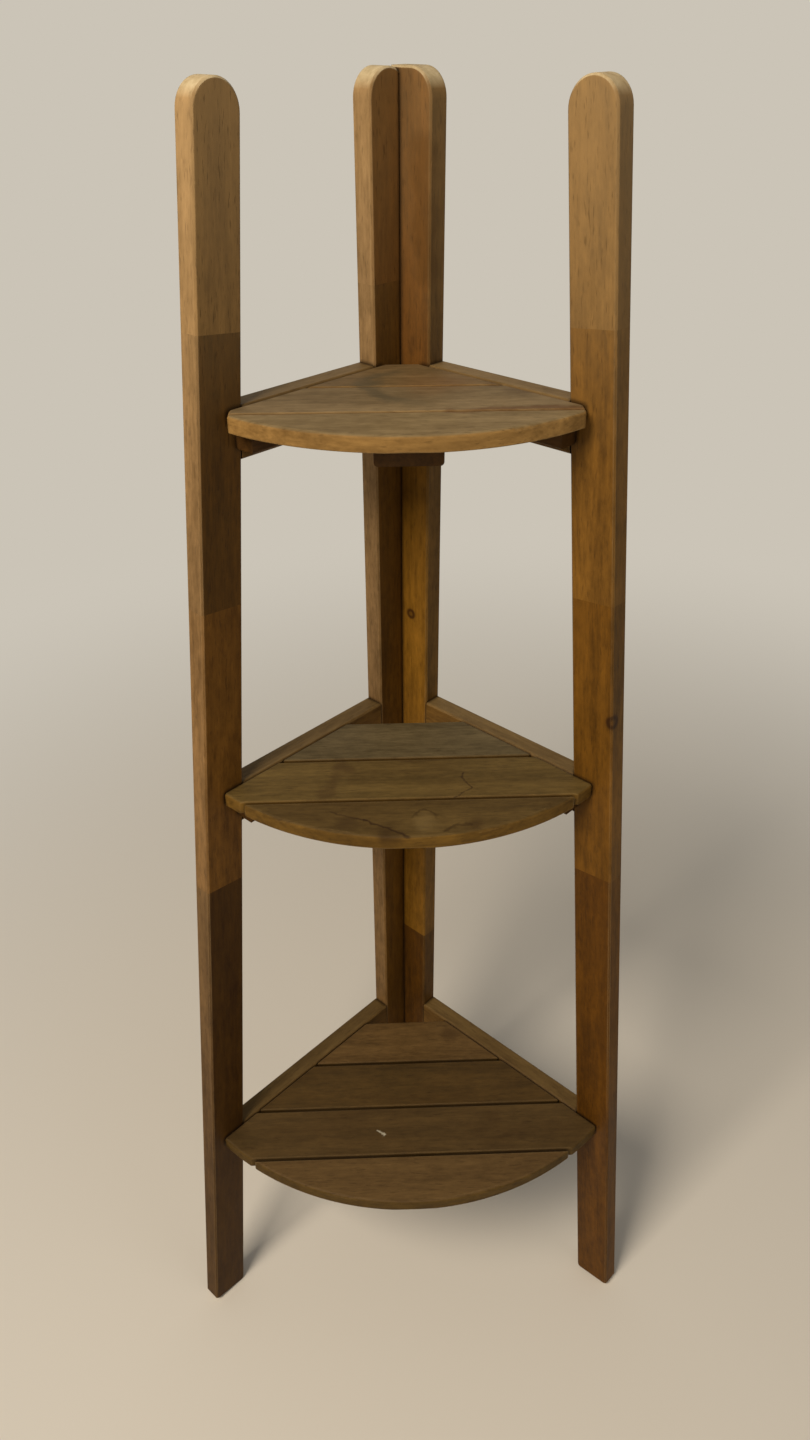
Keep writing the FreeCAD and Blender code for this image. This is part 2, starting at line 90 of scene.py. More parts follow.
# %% Helpers for materials
def linear(hex_colour):
    """An sRGB hex colour as the linear numbers that a shader wants."""
    parts = [int(hex_colour[i:i + 2], 16) / 255 for i in (1, 3, 5)]
    return (*(p / 12.92 if p <= 0.04045 else ((p + 0.055) / 1.055) ** 2.4
              for p in parts), 1.0)


def add(tree, kind, feeds=None, **settings):
    """A new node. Feeds are sockets to link from, or plain values to set."""
    node = tree.nodes.new(kind)
    for name, setting in settings.items():
        setattr(node, name, setting)
    for socket, feed in (feeds or {}).items():
        if isinstance(feed, bpy.types.NodeSocket):
            tree.links.new(feed, node.inputs[socket])
        else:
            node.inputs[socket].default_value = feed
    return node


def coated(tree, colour, *coats):
    """A colour under coats, each a mask and a tint, the lowest coat first."""
    for mask, tint in coats:
        colour = add(tree, "ShaderNodeMix", {0: mask, 6: colour, 7: tint},
                     data_type="RGBA").outputs[2]
    return colour


def blank_material(name):
    """A material with only its output and a Principled shader."""
    material = bpy.data.materials.new(name)
    material.use_nodes = True
    tree = material.node_tree
    tree.nodes.clear()
    output = add(tree, "ShaderNodeOutputMaterial")
    shader = add(tree, "ShaderNodeBsdfPrincipled")
    tree.links.new(shader.outputs[0], output.inputs[0])
    return material, tree, shader


print("a mid brown in linear numbers:", [round(v, 3) for v in linear("#704c26")])

# %% [markdown]
# The stand is a light tropical hardwood of the eucalyptus or acacia kind, planed
# and oiled. Its figure is quiet, and has five layers. Growth layers of about a
# centimetre make soft streaks that all wander the same way. Fibres of a millimetre
# lie inside them, and short flecks of three millimetres, where the plane cut a ray.
# Pores are short dark dashes, in the real wood 0.2 mm wide: here they are 0.7 mm,
# because anything finer would flicker at this distance. Clouds are where the oil
# took unevenly. All of them run along the board, so they are noise squeezed on the
# grain's axis. A Map Range node takes 1 and 2 as the range it reads, and 3 and 4 as
# the range it gives.

# %% The layers of the wood's figure
# Of each: size across the grain in metres, squeeze along it, octaves, roughness.
FIGURE = {
    "Streaks": (0.009, 0.09, 4, 0.62),
    "Fibres": (0.0012, 0.09, 2, 0.5),
    "Flecks": (0.003, 0.4, 4, 0.72),
    "Pores": (0.0007, 0.16, 1, 0.5),
    "Clouds": (0.05, 0.45, 5, 0.64),
}
WANDER = (0.03, 0.1, 2, 0.5)
WANDER_DEPTH = 0.016
PORE_BEGINS, PORE_FULL = 0.6, 0.74
NOISE_MEAN = (0.5, 0.5, 0.5)


def grained_noise(group, place, seed, size, squeeze, octaves, roughness):
    """Noise of a given size across the grain, drawn out along it."""
    squeezed = add(group, "ShaderNodeVectorMath", {0: place, 1: (1, 1, squeeze)},
                   operation="MULTIPLY").outputs[0]
    return add(group, "ShaderNodeTexNoise", {"Vector": squeezed, "W": seed,
               "Scale": 0.5 / size, "Detail": octaves, "Roughness": roughness},
               noise_dimensions="4D").outputs


print("layers of figure:", list(FIGURE))

# %% [markdown]
# All this could be copied into every board's material. It lives in one node group
# instead, with a seed that makes each board its own, so a change to the figure
# reaches all of them. All layers but the clouds are bent by the same slow wander, as
# the grain of a tree is.

# %% The figure as one shared group
def wood_figure():
    group = bpy.data.node_groups.new("hardwood_figure", "ShaderNodeTree")
    sockets = group.interface
    sockets.new_socket("Place", in_out="INPUT", socket_type="NodeSocketVector")
    sockets.new_socket("Seed", in_out="INPUT", socket_type="NodeSocketFloat")
    for name in FIGURE:
        sockets.new_socket(name, in_out="OUTPUT", socket_type="NodeSocketFloat")
    given = add(group, "NodeGroupInput")
    place, seed = given.outputs["Place"], given.outputs["Seed"]
    sway = grained_noise(group, place, seed, *WANDER)["Color"]
    sway = add(group, "ShaderNodeVectorMath", {0: sway, 1: NOISE_MEAN},
               operation="SUBTRACT").outputs[0]
    sway = add(group, "ShaderNodeVectorMath", {0: sway, "Scale": WANDER_DEPTH},
               operation="SCALE").outputs[0]
    bent = add(group, "ShaderNodeVectorMath", {0: place, 1: sway}).outputs[0]
    result = add(group, "NodeGroupOutput")
    for name, layer in FIGURE.items():
        start = place if name == "Clouds" else bent
        drawn = grained_noise(group, start, seed, *layer)[0]
        if name == "Pores":
            drawn = add(group, "ShaderNodeMapRange",
                        {0: drawn, 1: PORE_BEGINS, 2: PORE_FULL}).outputs[0]
        group.links.new(drawn, result.inputs[name])
    return group


figure_group = wood_figure()
print("figure group has", len(figure_group.nodes), "nodes")

# %% [markdown]
# A board is glued up end to end from short staves, and each stave has its own tone.
# So its tones are a list: where each stave starts along the board, then its dark
# and its light brown. A colour ramp with hard steps lays them out. Another one holds
# a seed for each stave, so that the figure breaks at the joint as it does in wood.

# %% Staves: tones in steps along a board
SEED_START, SEED_STEP, SEED_SPREAD = 0.13, 0.377, 40.0


def stepped(tree, along, starts, colours):
    """A ramp with one hard-edged step for each stave."""
    node = add(tree, "ShaderNodeValToRGB", {0: along})
    ramp = node.color_ramp
    ramp.interpolation = "CONSTANT"
    for start, colour in zip(starts[1:], colours[1:]):
        ramp.elements.new(start).color = colour
    ramp.elements[0].color = colours[0]
    ramp.elements.remove(ramp.elements[len(ramp.elements) - 1])
    return node.outputs[0]


def stave_seeds(count):
    """A grey for each stave, far from its neighbours'."""
    return [((number * SEED_STEP + SEED_START) % 1,) * 3 + (1,)
            for number in range(count)]


def own_figure(tree, place, along, starts, seed):
    """The shared figure, seeded for one board and broken at its joints."""
    seeds = stepped(tree, along, starts, stave_seeds(len(starts)))
    own_seed = add(tree, "ShaderNodeMath", {0: seeds, 1: SEED_SPREAD, 2: seed},
                   operation="MULTIPLY_ADD").outputs[0]
    return add(tree, "ShaderNodeGroup", {"Place": place, "Seed": own_seed},
               node_tree=figure_group).outputs


print("seeds of three staves:", [round(s[0], 2) for s in stave_seeds(3)])

# %% [markdown]
# Some faces have weathered more than others: the tops of slats and rails, and the
# narrow edges of the uprights. How squarely a face looks along an axis picks them
# out. The same measure along the grain finds end grain, which shows on the round
# tops and drinks more oil.

# %% Masks for weather and end grain
WEATHER_BEGINS, END_GRAIN_BEGINS, FACING_SPAN = 0.45, 0.3, 0.4
END_GRAIN_STRENGTH = 0.85


def looking_along(tree, normal, axis, both_ways, begins):
    """1 on faces square to an axis, 0 on the others."""
    facing = add(tree, "ShaderNodeVectorMath", {0: normal, 1: tuple(axis)},
                 operation="DOT_PRODUCT").outputs["Value"]
    if both_ways:
        facing = add(tree, "ShaderNodeMath", {0: facing},
                     operation="ABSOLUTE").outputs[0]
    return add(tree, "ShaderNodeMapRange",
               {0: facing, 1: begins, 2: begins + FACING_SPAN}).outputs[0]


def exposure(tree, normal, along, axis, both_ways, low, high):
    """How weathered a face is: low at the board's start, high at its end."""
    facing = looking_along(tree, normal, axis, both_ways, WEATHER_BEGINS)
    share = add(tree, "ShaderNodeMapRange",
                {0: along, 1: 0.1, 2: 0.95, 3: low, 4: high}).outputs[0]
    return add(tree, "ShaderNodeMath", {0: facing, 1: share},
               operation="MULTIPLY").outputs[0]


def cut_across(tree, normal, turn):
    """End grain, where a face is square to a board's own Z axis."""
    grain = Euler(turn).to_matrix() @ UP
    facing = looking_along(tree, normal, grain, True, END_GRAIN_BEGINS)
    return add(tree, "ShaderNodeMath", {0: facing, 1: END_GRAIN_STRENGTH},
               operation="MULTIPLY").outputs[0]


print("weather begins at", round(math.degrees(math.acos(WEATHER_BEGINS))), "degrees")

# %% [markdown]
# Two more masks do the small wear and some painted light. The Bevel node rounds the
# normal near an edge, so where that leaves the true normal, the edge is painted pale,
# in patches: partly where hands have rubbed it, partly a painted highlight. Ambient
# occlusion finds gaps and inner corners, which are darkened, partly with dirt and
# partly with painted shade, and aren't rubbed.

# %% Rubbed and highlit edges, dirt and painted shade
EDGE_WIDTH = 0.0016
DIRT_AND_SHADE_REACH = 0.0038
MOST_DIRT_AND_SHADE = 0.86
FLAT, BENT = 0.995, 0.88


def rubbed_and_highlit_edge(tree, normal, rounded, clouds, wear_and_highlight):
    """1 times the wear and painted highlight on edges, in the patches that the clouds
    leave.
    """
    flatness = add(tree, "ShaderNodeVectorMath", {0: normal, 1: rounded},
                   operation="DOT_PRODUCT").outputs["Value"]
    edge = add(tree, "ShaderNodeMapRange", {0: flatness, 1: FLAT, 2: BENT}).outputs[0]
    patchy = add(tree, "ShaderNodeMapRange",
                 {0: clouds, 1: 0.36, 2: 0.6, 4: wear_and_highlight}).outputs[0]
    return add(tree, "ShaderNodeMath", {0: edge, 1: patchy},
               operation="MULTIPLY").outputs[0]


def how_open(tree):
    """1 on open faces, falling to 0 in gaps and inner corners."""
    shelter = add(tree, "ShaderNodeAmbientOcclusion", {"Distance": DIRT_AND_SHADE_REACH},
                  samples=8).outputs["AO"]
    return add(tree, "ShaderNodeMapRange", {0: shelter, 1: 0.5, 2: 1.0}).outputs[0]


def worn_highlit_dirty_and_shaded(tree, colour, normal, rounded, clouds, worn_and_lit_tone, wear_and_highlight):
    """A board's colour with its edges rubbed and highlit, and its gaps and corners
    darkened by dirt and painted shade.
    """
    is_open = how_open(tree)
    # The pale coat on edges is wear and a painted highlight.
    rubbed_and_highlit = rubbed_and_highlit_edge(tree, normal, rounded, clouds, wear_and_highlight)
    rubbed_and_highlit = add(tree, "ShaderNodeMath", {0: rubbed_and_highlit, 1: is_open},
                 operation="MULTIPLY").outputs[0]
    # The dark coat in gaps and inner corners is dirt and painted shade.
    grime_and_painted_shade = add(tree, "ShaderNodeMapRange",
                {0: is_open, 3: MOST_DIRT_AND_SHADE, 4: 0.0}).outputs[0]
    return coated(tree, colour, (rubbed_and_highlit, linear(worn_and_lit_tone)), (grime_and_painted_shade, linear("#241606")))


print("edges are rubbed over", EDGE_WIDTH * 1000, "mm")

# %% [markdown]
# Old oil has a soft sheen, roughness 0.5 on faces that hands polish and up to 0.76
# on the washed slats, with the 1.45 refraction of an oil film. The film has worn
# thin and the pores are open, so only a third of its shine is left. The pores are
# pressed in by a tenth of a millimetre of bump: modelling them would take millions
# of faces and look no better.

# %% The oil's sheen and the pores' relief
OIL_IOR = 1.45
WORN_FILM = 0.17
BUMP_STRENGTH, BUMP_DEPTH = 0.5, 0.0002


def oil_sheen(tree, shader, figure, rounded, roughness):
    """A worn film of oil, duller where it clouds, over wood with open pores."""
    dull = add(tree, "ShaderNodeMapRange", {0: figure["Clouds"], 1: 0.3, 2: 0.7,
               3: roughness[0], 4: roughness[1]}).outputs[0]
    tree.links.new(dull, shader.inputs["Roughness"])
    shader.inputs["IOR"].default_value = OIL_IOR
    shader.inputs["Specular IOR Level"].default_value = WORN_FILM
    relief = add(tree, "ShaderNodeMath", {0: figure["Pores"], 1: -1.0,
                 2: figure["Fibres"]}, operation="MULTIPLY_ADD").outputs[0]
    bump = add(tree, "ShaderNodeBump", {"Strength": BUMP_STRENGTH,
               "Distance": BUMP_DEPTH, "Height": relief, "Normal": rounded})
    tree.links.new(bump.outputs[0], shader.inputs["Normal"])


print("bump in mm:", BUMP_STRENGTH * BUMP_DEPTH * 1000)

# %% [markdown]
# The browns of a board are laid on from the inside out: each stave's dark and light
# tone, greyed where the weather reaches, mixed by the figure. Then its upper end is
# painted paler, partly bleached and partly painted light from the lamp above, oil has
# soaked in dark here and there, and the pores are darker still.

# %% A board's browns
LAYER_WEIGHTS = {"Fibres": 0.5, "Flecks": 0.8, "Clouds": 0.5}
DARKEST, LIGHTEST = 1.12, 1.68
PORE_STRENGTH, SOAKED_STRENGTH = 0.35, 0.6


def lightness(tree, figure):
    """How light the wood is, from 0 to 1, out of all layers but the pores."""
    tone = figure["Streaks"]
    for name, weight in LAYER_WEIGHTS.items():
        tone = add(tree, "ShaderNodeMath", {0: figure[name], 1: weight, 2: tone},
                   operation="MULTIPLY_ADD").outputs[0]
    return add(tree, "ShaderNodeMapRange",
               {0: tone, 1: DARKEST, 2: LIGHTEST}).outputs[0]


def oiled_browns(tree, along, figure, tone, staves, exposed, weathered, worn_and_lit_tone, bleached_and_lit):
    """A board's colour before marks and wear."""
    starts = [stave[0] for stave in staves]
    dark, light = (
        coated(tree, stepped(tree, along, starts, [linear(s[kind]) for s in staves]),
               (exposed, linear(weathered[kind - 1]))) for kind in (1, 2))
    # The paler top is bleaching and painted light from above.
    top = add(tree, "ShaderNodeMapRange",
              {0: along, 1: 0.8, 2: 1.0, 4: bleached_and_lit}).outputs[0]
    soaked = add(tree, "ShaderNodeMapRange",
                 {0: figure["Clouds"], 1: 0.5, 2: 0.78, 4: SOAKED_STRENGTH}).outputs[0]
    pores = add(tree, "ShaderNodeMath", {0: figure["Pores"], 1: PORE_STRENGTH},
                operation="MULTIPLY").outputs[0]
    return coated(tree, dark, (tone, light), (top, linear(worn_and_lit_tone)),
                  (soaked, linear("#33200a")), (pores, linear("#2a1906")))


print("weights of the layers beside the streaks:", LAYER_WEIGHTS)

# %% [markdown]
# One function now makes a whole board's material. The Mapping node gives the place
# on the board in the board's own axes, with its grain along Z, so that a leaning or
# lying board has a grain that leans or lies with it.

# %% One board's material
def oiled_hardwood(name, origin, turn, length, staves, worn_and_lit_tone, end_grain, weathered,
                   weather_axis, both_ways=False, weather=(1.0, 1.0), bleached_and_lit=0.0,
                   seed=0.0, wear_and_highlight=0.45, roughness=(0.5, 0.66), marks=None):
    """Oiled hardwood whose grain runs along a board's own Z axis, from its origin."""
    material, tree, shader = blank_material(name)
    where = add(tree, "ShaderNodeTexCoord").outputs["Object"]
    normal = add(tree, "ShaderNodeNewGeometry").outputs["Normal"]
    rounded = add(tree, "ShaderNodeBevel", {"Radius": EDGE_WIDTH}, samples=4).outputs[0]
    place = add(tree, "ShaderNodeMapping", {"Vector": where, "Location": origin,
                "Rotation": turn}, vector_type="TEXTURE").outputs[0]
    height = add(tree, "ShaderNodeSeparateXYZ", {0: place}).outputs["Z"]
    along = add(tree, "ShaderNodeMath", {0: height, 1: length},
                operation="DIVIDE").outputs[0]

    figure = own_figure(tree, place, along, [stave[0] for stave in staves], seed)
    tone = lightness(tree, figure)
    exposed = exposure(tree, normal, along, weather_axis, both_ways, *weather)
    colour = oiled_browns(tree, along, figure, tone, staves, exposed, weathered,
                          worn_and_lit_tone, bleached_and_lit)
    if marks:
        colour = marks(tree, where, figure["Clouds"], colour)
    mottled = coated(tree, linear(end_grain[0]), (tone, linear(end_grain[1])))
    colour = coated(tree, colour, (cut_across(tree, normal, turn), mottled))
    colour = worn_highlit_dirty_and_shaded(tree, colour, normal, rounded, figure["Clouds"], worn_and_lit_tone, wear_and_highlight)
    tree.links.new(colour, shader.inputs["Base Color"])
    oil_sheen(tree, shader, figure, rounded, roughness)
    return material


slot_of = {row["node"]: row["material_slot"] for row in frame["record"]["subparts"]}


def dress(node, material):
    """Give a CAD board its material."""
    mesh = frame["nodes"][node].data
    mesh.materials.clear()
    mesh.materials.append(material)


print("nodes to dress:", len(slot_of))

# %% [markdown]
# Marks are drawn by distance, since a mark has no shape to model: from a point for a
# blot or a knot, from a circle for the ring of a saucer, from a line for a run of
# dirty water or a split. Water never runs straight, so places are first shaken by a
# noise of two centimetres, and the figure's clouds are added to the distance. No
# mark has a drawn edge.

# %% What all marks share
SHAKE = (0.026, 0.026, 0.004)
SHAKE_SCALE = 38.0
CORE = 0.15


def shaken(tree, where):
    """Places moved by a few millimetres, most of it level."""
    noise = add(tree, "ShaderNodeTexNoise", {"Vector": where, "Scale": SHAKE_SCALE,
                "Detail": 4, "Roughness": 0.6}).outputs["Color"]
    centred = add(tree, "ShaderNodeVectorMath", {0: noise, 1: NOISE_MEAN},
                  operation="SUBTRACT").outputs[0]
    moved = add(tree, "ShaderNodeVectorMath", {0: centred, 1: SHAKE},
                operation="MULTIPLY").outputs[0]
    return add(tree, "ShaderNodeVectorMath", {0: where, 1: moved}).outputs[0]


def wandering(tree, distance, clouds, amount):
    """A distance that the figure's clouds make longer or shorter."""
    centred = add(tree, "ShaderNodeMath", {0: clouds, 1: NOISE_MEAN[0]},
                  operation="SUBTRACT").outputs[0]
    return add(tree, "ShaderNodeMath", {0: centred, 1: amount, 2: distance},
               operation="MULTIPLY_ADD").outputs[0]


def laid_on(tree, distance, reach, strength, colour, tint):
    """A tint that is full at no distance and gone at its reach."""
    mask = add(tree, "ShaderNodeMapRange", {0: distance, 1: reach, 2: reach * CORE,
               4: strength}, interpolation_type="SMOOTHSTEP").outputs[0]
    return coated(tree, colour, (mask, linear(tint)))


print("places are shaken by up to", SHAKE[0] * 500, "mm")

# %% [markdown]
# A blot is a soft spot. A knot is a dark rim round an eye that is nearly the
# board's own colour, and it grew with the wood, so it isn't shaken.

# %% Blots and knots
def blot(tree, where, clouds, colour, centre, radius, strength, tint):
    """A soft spot around a point."""
    distance = add(tree, "ShaderNodeVectorMath", {0: where, 1: centre},
                   operation="DISTANCE").outputs["Value"]
    distance = wandering(tree, distance, clouds, radius * 1.6)
    return laid_on(tree, distance, radius, strength, colour, tint)


def knot(tree, where, clouds, colour, centre, radius, tint):
    """A small knot: a dark rim in a soft shadow."""
    colour = blot(tree, where, clouds, colour, centre, radius * 2.2, 0.45, tint)
    distance = add(tree, "ShaderNodeVectorMath", {0: where, 1: centre},
                   operation="DISTANCE").outputs["Value"]
    rim = add(tree, "ShaderNodeMath", {0: distance, 1: radius},
              operation="SUBTRACT").outputs[0]
    rim = add(tree, "ShaderNodeMath", {0: rim}, operation="ABSOLUTE").outputs[0]
    return laid_on(tree, rim, radius * 0.7, 0.8, colour, tint)


print("marks around a point:", [kind.__name__ for kind in (blot, knot)])

# %% [markdown]
# A saucer leaves only part of its ring, where water stood under its rim. So the ring
# fades with the direction from its centre. A run goes from one point to another, and
# its distance is taken from the nearest point between them.

# %% Rings and runs
def ring(tree, where, clouds, colour, centre, radius, width, towards, strength, tint):
    """A part of a saucer's ring, on the side of its centre that is given."""
    offset = add(tree, "ShaderNodeVectorMath", {0: where, 1: centre},
                 operation="SUBTRACT").outputs[0]
    distance = add(tree, "ShaderNodeVectorMath", {0: offset},
                   operation="LENGTH").outputs["Value"]
    distance = wandering(tree, distance, clouds, width * 1.5)
    distance = add(tree, "ShaderNodeMath", {0: distance, 1: radius},
                   operation="SUBTRACT").outputs[0]
    distance = add(tree, "ShaderNodeMath", {0: distance},
                   operation="ABSOLUTE").outputs[0]
    side = add(tree, "ShaderNodeVectorMath", {0: offset},
               operation="NORMALIZE").outputs[0]
    side = add(tree, "ShaderNodeVectorMath", {0: side, 1: towards},
               operation="DOT_PRODUCT").outputs["Value"]
    side = add(tree, "ShaderNodeMapRange",
               {0: side, 1: 0.1, 2: 0.75, 4: strength}).outputs[0]
    return laid_on(tree, distance, width, side, colour, tint)


def run(tree, where, clouds, colour, start, end, width, strength, tint):
    """A run of dirt or a split, from one point to another."""
    direction = Vector(end) - Vector(start)
    offset = add(tree, "ShaderNodeVectorMath", {0: where, 1: start},
                 operation="SUBTRACT").outputs[0]
    share = add(tree, "ShaderNodeVectorMath", {0: offset,
                1: tuple(direction / direction.length_squared)},
                operation="DOT_PRODUCT").outputs["Value"]
    share = add(tree, "ShaderNodeMath", {0: share, 1: 1.0}, operation="MULTIPLY",
                use_clamp=True).outputs[0]
    nearest = add(tree, "ShaderNodeVectorMath", {0: tuple(direction), "Scale": share},
                  operation="SCALE").outputs[0]
    distance = add(tree, "ShaderNodeVectorMath", {0: offset, 1: nearest},
                   operation="DISTANCE").outputs["Value"]
    distance = wandering(tree, distance, clouds, width * 2.2)
    return laid_on(tree, distance, width, strength, colour, tint)


def marked(*marks):
    """A function that draws a list of marks over a board's colour."""
    def draw(tree, where, clouds, colour):
        place = shaken(tree, where)
        for kind, *numbers in marks:
            spot = where if kind is knot else place
            colour = kind(tree, spot, clouds, colour, *numbers)
        return colour
    return draw


print("marks with a line:", [kind.__name__ for kind in (ring, run)])

# %% [markdown]
# Both front uprights show the same three joints, at 1.02, 0.83 and 0.56 m: their
# staves came out of one glued-up panel. The left one is the browner, the right one
# more golden, and both get darker towards the floor, partly the staves' own tone and
# partly painted shade where the lamp's light falls off. Their tops are painted paler,
# partly bleached and partly painted light from above. Light has bleached their
# narrow edges.

# %% The two front uprights
FRONT_JOINTS = (0.0, 0.56, 0.826, 1.024)
# Stave tones darken towards the floor, partly as painted shade of the lamp's falloff.
FRONT_TONES_AND_SHADE = {
    "left": [("#341e06", "#51350e"), ("#50330e", "#7c541f"), ("#3f2a0c", "#604116"),
             ("#634822", "#8d6b3a")],
    "right": [("#432806", "#6c440e"), ("#4f330a", "#7b5216"), ("#583b11", "#875e22"),
              ("#5f4520", "#8d6a38")],
}
EDGE_TONES = {"left": ("#745935", "#b39063"), "right": ("#4b3614", "#76572b")}
FRONT_MARKS = {
    "left": marked((run, (-0.190, -0.066, 0.70), (-0.188, -0.064, 0.74), 0.004, 0.5,
                    "#2b1a0b")),
    "right": marked((knot, (0.1646, -0.0367, 0.725), 0.0045, "#2b1606")),
}


def staves_from(joints, tones):
    """Staves of an upright, their starts as shares of its length."""
    return [(joint / STAND_HEIGHT, *pair) for joint, pair in zip(joints, tones)]


for number, side in enumerate(("left", "right")):
    foot = CORNER + along_frame(side) * FOOT_REACH
    dress(f"{side}_front_upright", oiled_hardwood(
        f"oiled_hardwood_{side}_front", tuple(foot), (0, -LEAN, HEADING[side]),
        STAND_HEIGHT, staves_from(FRONT_JOINTS, FRONT_TONES_AND_SHADE[side]),
        worn_and_lit_tone="#b6996e", end_grain=("#ab956d", "#dccba6"), weathered=EDGE_TONES[side],
        weather_axis=along_frame(side), both_ways=True, weather=(0.1, 0.8),
        bleached_and_lit=0.35, seed=3.1 + number, marks=FRONT_MARKS[side]))
print("front uprights dressed")

# %% [markdown]
# The back uprights stand plumb in the corner, out of reach of hands and mops, so
# they kept more of the orange of the oil. The right one has a small knot.

# %% The two back uprights
BACK_STAVES = {
    "left": ((0.0, 1.029), [("#452c08", "#6d4913"), ("#573710", "#7f5520")]),
    "right": ((0.0, 0.356, 0.93), [("#3d2507", "#623e0d"), ("#5e3f0c", "#92661f"),
                                   ("#472b0a", "#734816")]),
}
BACK_MARKS = {
    "left": None,
    "right": marked(
        (knot, (0.0076, 0.1174, 0.747), 0.0035, "#331a06"),
        (run, (0.018, 0.107, 1.040), (0.014, 0.111, 1.125), 0.016, 0.45, "#4f330e"),
        (run, (0.029, 0.096, 1.010), (0.031, 0.094, 1.150), 0.006, 0.45, "#a08150")),
}
for number, side in enumerate(("left", "right")):
    dress(f"{side}_back_upright", oiled_hardwood(
        f"oiled_hardwood_{side}_back", tuple(CORNER), (0, 0, HEADING[side]),
        STAND_HEIGHT, staves_from(*BACK_STAVES[side]), worn_and_lit_tone="#b09265",
        end_grain=("#a48f68", "#d2c19c"), weathered=EDGE_TONES[side],
        weather_axis=along_frame(side), both_ways=True, weather=(0.3, 1.0),
        bleached_and_lit=0.25, seed=7.7 + 2 * number, marks=BACK_MARKS[side]))
print("back uprights dressed")

# %% [markdown]
# Rails and the carriers under the slats have grain along their length. The rails'
# upper edges have weathered with the shelves; their sides have not. The upper edges
# darken tier by tier downwards, partly as painted shade.

# %% Rails, bearers and battens
RAIL_TONES_AND_SHADE = {"top": ("#6a5534", "#88704a"), "middle": ("#5e4a2b", "#7d6640"),
              "bottom": ("#523e20", "#6f5832")}
CARRIER_TONES = ("#3c260c", "#5f4019")


def lying(direction):
    """Turn of a board that lies along a compass direction, grain with it."""
    return (0, math.radians(90), direction)


def carrier(node, direction, seed):
    """A board under the slats, which no weather reaches."""
    dress(node, oiled_hardwood(
        f"oiled_hardwood_{node}", tuple(CORNER), lying(direction), 1.0,
        [(0.0, *CARRIER_TONES)], worn_and_lit_tone="#75572d", end_grain=("#38240d", "#543817"),
        weathered=CARRIER_TONES, weather_axis=UP, seed=seed, wear_and_highlight=0.3))


for number, (tier, tones) in enumerate(RAIL_TONES_AND_SHADE.items()):
    for side in ("left", "right"):
        node = f"{side}_{tier}_rail"
        dress(node, oiled_hardwood(
            f"oiled_hardwood_{node}", tuple(CORNER), lying(HEADING[side]), 1.0,
            [(0.0, "#503714", "#7b5a28")], worn_and_lit_tone="#8d724b",
            end_grain=("#45300f", "#61451d"), weathered=tones, weather_axis=UP,
            seed=11.3 * number + HEADING[side], wear_and_highlight=0.35))
        carrier(f"{tier}_{side}_bearer", HEADING[side], 5.9 * number + HEADING[side])
    carrier(f"{tier}_centre_batten", math.radians(-90), 2.3 * number)
print("rails, bearers and battens dressed")

# %% [markdown]
# The shelves carried wet pots. Water has washed the oil out of their upper faces,
# so these are greyer and duller than the sawn edges, and it left its signs: parts
# of rings where saucers stood, dark smudges, runs of dirt and a split. The bottom
# shelf has a small pale fleck of dried lime. Each mark has its own place on its
# shelf, so the marks are a list and not a noise.

# %% The signs on each shelf
TOP, MIDDLE, BOTTOM = (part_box(f"{tier}_front_slat")[1][2] for tier in
                       ("top", "middle", "bottom"))
SMUDGE, SPLIT, GRIME = "#3c2812", "#2c1b0c", "#2a1908"
FAINT, RIM_BROWN = "#3a2710", "#302009"
SHELF_MARKS = {
    "top": marked(
        (blot, (0.022, 0.050, TOP), 0.040, 0.35, "#74502b"),
        (ring, (0.018, 0.050, TOP), 0.045, 0.011, (-1, -0.2, 0), 0.6, "#494231"),
        (blot, (0.071, 0.050, TOP), 0.012, 0.5, "#3f2916"),
        (blot, (0.084, 0.030, TOP), 0.015, 0.4, "#3f2916"),
        (run, (0.030, -0.0105, TOP), (0.124, -0.0105, TOP), 0.007, 0.55, "#55300f")),
    "middle": marked(
        (run, (-0.054, 0.006, MIDDLE), (-0.070, -0.036, MIDDLE), 0.009, 0.4, SMUDGE),
        (blot, (-0.052, -0.004, MIDDLE), 0.010, 0.4, SMUDGE),
        (run, (0.046, -0.012, MIDDLE), (0.049, -0.030, MIDDLE), 0.0022, 0.75, SPLIT),
        (run, (0.049, -0.030, MIDDLE), (0.036, -0.043, MIDDLE), 0.0022, 0.75, SPLIT),
        (blot, (-0.052, -0.074, MIDDLE), 0.020, 0.55, "#352410"),
        (blot, (-0.022, -0.090, MIDDLE), 0.018, 0.65, "#2f1e0a"),
        (run, (-0.066, -0.060, MIDDLE), (-0.037, -0.072, MIDDLE), 0.0026, 0.8, GRIME),
        (run, (-0.037, -0.072, MIDDLE), (-0.006, -0.092, MIDDLE), 0.0026, 0.8, GRIME),
        (blot, (0.011, -0.077, MIDDLE), 0.015, 0.35, "#7f6a42"),
        (ring, (0.011, -0.077, MIDDLE), 0.013, 0.0022, (0.2, 1.0, 0), 0.55, RIM_BROWN),
        (run, (0.024, -0.086, MIDDLE), (0.046, -0.080, MIDDLE), 0.0030, 0.6, RIM_BROWN),
        (blot, (0.051, -0.081, MIDDLE), 0.012, 0.55, "#332009")),
    "bottom": marked(
        (blot, (0.048, 0.059, BOTTOM), 0.012, 0.45, FAINT),
        (blot, (0.085, -0.050, BOTTOM), 0.018, 0.35, FAINT),
        (run, (-0.060, -0.020, BOTTOM), (0.020, -0.024, BOTTOM), 0.004, 0.25, FAINT),
        (run, (-0.035, -0.065, BOTTOM), (-0.028, -0.068, BOTTOM), 0.0019, 0.95,
         "#b8b19c")),
}
print("shelf levels:", [round(level, 4) for level in (TOP, MIDDLE, BOTTOM)])

